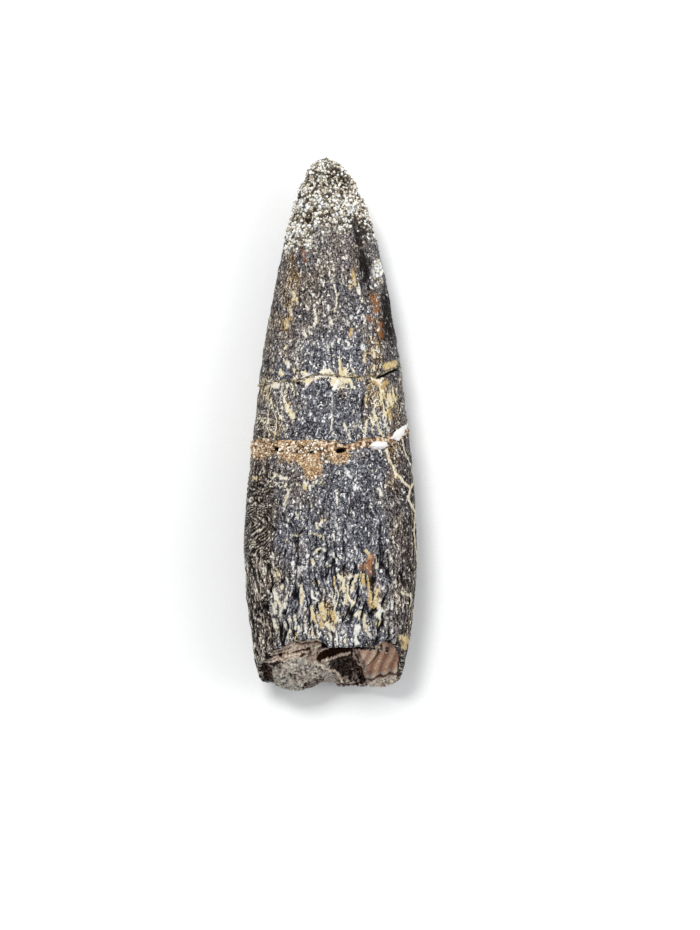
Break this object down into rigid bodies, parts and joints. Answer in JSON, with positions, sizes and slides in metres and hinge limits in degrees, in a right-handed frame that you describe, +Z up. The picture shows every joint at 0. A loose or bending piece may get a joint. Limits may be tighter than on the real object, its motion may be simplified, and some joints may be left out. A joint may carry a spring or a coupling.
{
  "type": "fossil diplodocid tooth",
  "caption": "Peg-shaped fossil sauropod tooth crown with wrinkled dark enamel, a worn granular tip, filled cross fractures and an oblique broken base, lying on a small flat spot.",
  "frame": {"origin": "middle of the footprint on the surface that the tooth rests on", "axes": "+Y from the broken base to the worn tip, +Z up through the lip side, +X to the right with the tip pointing away"},
  "size_m": [0.0097, 0.03, 0.0075],
  "materials": {
    "fossil_enamel": "satin, wrinkled dark blue-grey fossil enamel with cream mineral in its grooves",
    "fossil_dentine": "broken brown to grey fossil dentine, dull on the rough part and waxy on the scooped part",
    "fracture_fill": "matt tan and orange sandy sediment",
    "white_mineral": "white crystalline mineral, slightly translucent"
  },
  "bodies": {
    "root": {"tooth": "fossil_enamel"}
  },
  "joints": []
}
